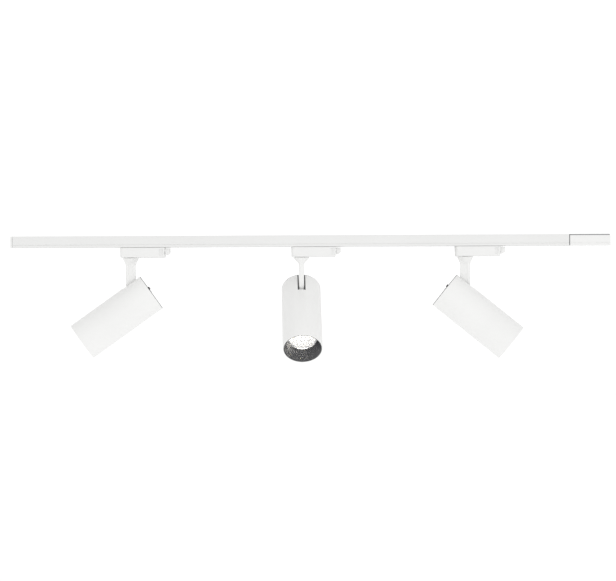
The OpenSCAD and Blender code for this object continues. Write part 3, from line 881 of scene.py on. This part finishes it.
def cap_screws(head):
    """Two small cross-head screws that hold the rear cap."""
    screws = []
    up, out = CAP_SCREW
    for y in (-out, out):
        dome = revolve(fillet([(0.01, -1.1), (1.4, -1.0), (2.4, -0.3), (2.4, 0.2), (0.01, 0.2)],
                              [0, 0.4, 0.3, 0, 0], 3), 32, closed=False)
        cross = [box((-1.4, -0.25, -2), (1.4, 0.25, -0.55)), box((-0.25, -1.4, -2), (0.25, 1.4, -0.55))]
        screws.append(shifted(cut(dome, *cross), up, y))
    show(f"{head}_rear_cap_screws", beside(*screws), head_place(head), f"{head}_head", ZINC)


def glare_cone(head):
    """The black cone, whose face is cut into small pyramids between a plain lip and throat."""
    front, lip, height = CONE_FRONT, 1.0, 1.0
    back = front - CONE_DEPTH
    count, rows = 56, 6
    start, end = (CONE_IN_R + height, back + 0.8), (SEAT_R - lip - 0.3, front - 1.2)
    rings = [(CONE_IN_R + 0.1, back), (SEAT_R - 0.05, back), (SEAT_R - 0.05, front - 0.3),
             (SEAT_R - 0.3, front), (SEAT_R - lip, front - 0.1)]
    bm = bmesh.new()
    made = []
    for r, z in rings:
        made.append([bm.verts.new(p) for p in ring(r, z, count)])
    for n in range(rows + 1):
        t = 1 - n / rows
        r, z = start[0] + (end[0] - start[0]) * t, start[1] + (end[1] - start[1]) * t
        turn = math.pi * n / count
        made.append([bm.verts.new((r * math.cos(turn + 2 * math.pi * k / count),
                                   r * math.sin(turn + 2 * math.pi * k / count), z)) for k in range(count)])
    cells = []
    for k in range(len(made)):
        a, b = made[k], made[(k + 1) % len(made)]
        shift = rows // 2 if k == len(made) - 1 else 0
        for i in range(count):
            j = (i + 1) % count
            face = bm.faces.new((a[i], a[j], b[(j + shift) % count], b[(i + shift) % count]))
            if len(rings) <= k < len(rings) + rows:
                cells.append(face)
    tidied(bm)
    bmesh.ops.poke(bm, faces=cells, offset=height, center_mode="MEAN")
    show(f"{head}_glare_cone", tidied(bm), head_place(head), f"{head}_head", CONE_PLASTIC,
         [f"{head}_baffle_ring"], 15)


def faceted_cup(head):
    """The reflector: staggered rows of pillowed facets on a parabola, and a flange behind the cone."""
    mouth, back, back_r, wall = SEAT_W - 0.1, SINK_FRONT + 2.4, 10.0, 0.9
    columns, rows, fine, pillow, crowding = 30, 7, 4, 0.4, 1.4
    reach, depth = CONE_IN_R - 0.8 - back_r, mouth - 1.8 - back
    rings = []
    for n in range(rows * fine + 1):
        t = (n / (rows * fine)) ** crowding
        r, z = back_r + reach * math.sqrt(t), back + depth * t
        swell = abs(math.sin(math.pi * n / fine))
        stagger = 0.5 * (n // fine % 2)
        points = []
        for k in range(columns * fine):
            a = 2 * math.pi * k / (columns * fine)
            lift = pillow * math.sqrt(swell * abs(math.sin(math.pi * (k / fine + stagger))))
            points.append(((r - lift) * math.cos(a), (r - lift) * math.sin(a), z))
        rings.append(points)
    lip = [(CONE_IN_R, mouth - 1.0), (CONE_IN_R, mouth), (BORE_R - 0.5, mouth), (BORE_R - 0.5, mouth - 1),
           (CONE_IN_R + wall, mouth - 1)]
    rings += [ring(r, z, columns * fine) for r, z in lip]
    for n in range(rows, -1, -1):
        t = (n / rows) ** crowding
        rings.append(ring(back_r + wall + reach * math.sqrt(t), back + (depth - 1) * t, columns * fine))
    show(f"{head}_faceted_cup", loft(rings, closed=True), head_place(head), f"{head}_head",
         MIRROR, [f"{head}_reflector"], 25)


def light_source(head):
    """Ceramic board with a raised rim, two solder pads and the domed phosphor disc."""
    place = head_place(head)
    board = revolve(fillet([(0.01, 0), (BOARD_R, 0), (BOARD_R, BOARD_T), (0.01, BOARD_T)],
                           [0, 0.2, 0.3, 0], 3), 72, closed=False)
    dam_in, dam_out, dam_top = 9.1, 10.0, 2.15
    dam = revolve(fillet([(dam_in, BOARD_T - 0.1), (dam_out, BOARD_T - 0.1), (dam_out, dam_top),
                          (dam_in, dam_top)], [0, 0, 0.25, 0.25], 3), 72)
    board = joined(board, dam)
    show(f"{head}_ceramic_board", shifted(board, z=SINK_FRONT), place, f"{head}_head",
         CERAMIC, [f"{head}_led_module"], 35)
    disc_r, disc_low = dam_in - 0.05, BOARD_T + 0.05
    disc = revolve(fillet([(0.01, disc_low), (disc_r, disc_low), (disc_r, 2.0), (0.01, 2.2)],
                          [0, 0, 0.2, 0], 3), 72, closed=False)
    show(f"{head}_phosphor_disc", shifted(disc, z=SINK_FRONT), place, f"{head}_head",
         PHOSPHOR, (), 35)
    pads = [shifted(soften(box((-1.5, -1, BOARD_T), (1.5, 1, BOARD_T + 0.15)), 0.06), x, 0, SINK_FRONT)
            for x in (-PAD_OUT, PAD_OUT)]
    show(f"{head}_solder_pads", beside(*pads), place, f"{head}_head", ZINC)


def head_parts(head):
    """All of one spotlight's head."""
    head_shell(head)
    rear_plate(head)
    cap_screws(head)
    glare_cone(head)
    faceted_cup(head)
    light_source(head)
    dress(f"{head}_heat_sink", ALUMINIUM, 0.25)
    dress(f"{head}_led_driver", WHITE_PLASTIC, 0.8)


# ---------- studio ----------

def floor():
    """A plain pale floor, a room's height below the ceiling."""
    drop, reach = -2.4, 40.0
    mesh = bpy.data.meshes.new("floor")
    mesh.from_pydata([(x * reach, y * reach, drop) for x, y in ((-1, -1), (1, -1), (1, 1), (-1, 1))],
                     [], [(0, 1, 2, 3)])
    plane = bpy.data.objects.new("floor", mesh)
    bpy.context.scene.collection.objects.link(plane)
    look = Look("pale_floor", (0.93, 0.93, 0.93), 0.8)
    look.tint(0.6, 0.004).gloss(2, 0.03)
    mesh.materials.append(look.done())
    look.shader.inputs["Emission Color"].default_value = (1, 1, 1, 1)
    look.shader.inputs["Emission Strength"].default_value = 0.16


def sky():
    """Even white surroundings, and plain white to the camera."""
    world = bpy.data.worlds.new("studio")
    bpy.context.scene.world = world
    world.use_nodes = True
    tree = world.node_tree
    tree.nodes.clear()
    lit, plain = tree.nodes.new("ShaderNodeBackground"), tree.nodes.new("ShaderNodeBackground")
    mix, path = tree.nodes.new("ShaderNodeMixShader"), tree.nodes.new("ShaderNodeLightPath")
    out = tree.nodes.new("ShaderNodeOutputWorld")
    lit.inputs["Color"].default_value = (1, 1, 1, 1)
    lit.inputs["Strength"].default_value = 0.95
    plain.inputs["Color"].default_value = (1, 1, 1, 1)
    plain.inputs["Strength"].default_value = 1.1
    tree.links.new(path.outputs["Is Camera Ray"], mix.inputs["Fac"])
    tree.links.new(lit.outputs[0], mix.inputs[1])
    tree.links.new(plain.outputs[0], mix.inputs[2])
    tree.links.new(mix.outputs[0], out.inputs["Surface"])


def soft_light(name, place, target, size, watts):
    """A rectangular area light."""
    data = bpy.data.lights.new(name, "AREA")
    data.shape, data.size, data.size_y, data.energy = "RECTANGLE", size, size * 0.7, watts
    light = bpy.data.objects.new(name, data)
    bpy.context.scene.collection.objects.link(light)
    light.location = place
    light.rotation_euler = (Vector(target) - Vector(place)).to_track_quat("-Z", "Y").to_euler()


def camera():
    """Level, square to the track, and turned by the hair that the view is turned by."""
    data = bpy.data.cameras.new("camera")
    data.sensor_width, data.lens = 36.0, 111.0
    view = bpy.data.objects.new("camera", data)
    bpy.context.scene.collection.objects.link(view)
    view.location = (0.0305, -3.427, -0.0994)
    level = Matrix.Rotation(math.radians(90), 4, "X")
    view.rotation_euler = (level @ Matrix.Rotation(math.radians(-0.26), 4, "Z")).to_euler()
    bpy.context.scene.camera = view


def studio():
    """What the object is seen against and lit by."""
    floor()
    sky()
    soft_light("front_softbox", (0, -3.2, 0), (0, 0, -0.1), 2.2, 5.5)
    soft_light("right_softbox", (2.6, -2.6, 0.1), (0, 0, -0.1), 1.8, 5.5)
    soft_light("top_softbox", (0.8, -2.0, 2.0), (0, 0, -0.1), 1.6, 1.2)
    bpy.context.scene.view_settings.view_transform = "Standard"
    camera()


track()
track_inside()
track_ends()
for head in HEADS:
    adapter(head)
    arm(head)
    head_parts(head)
studio()
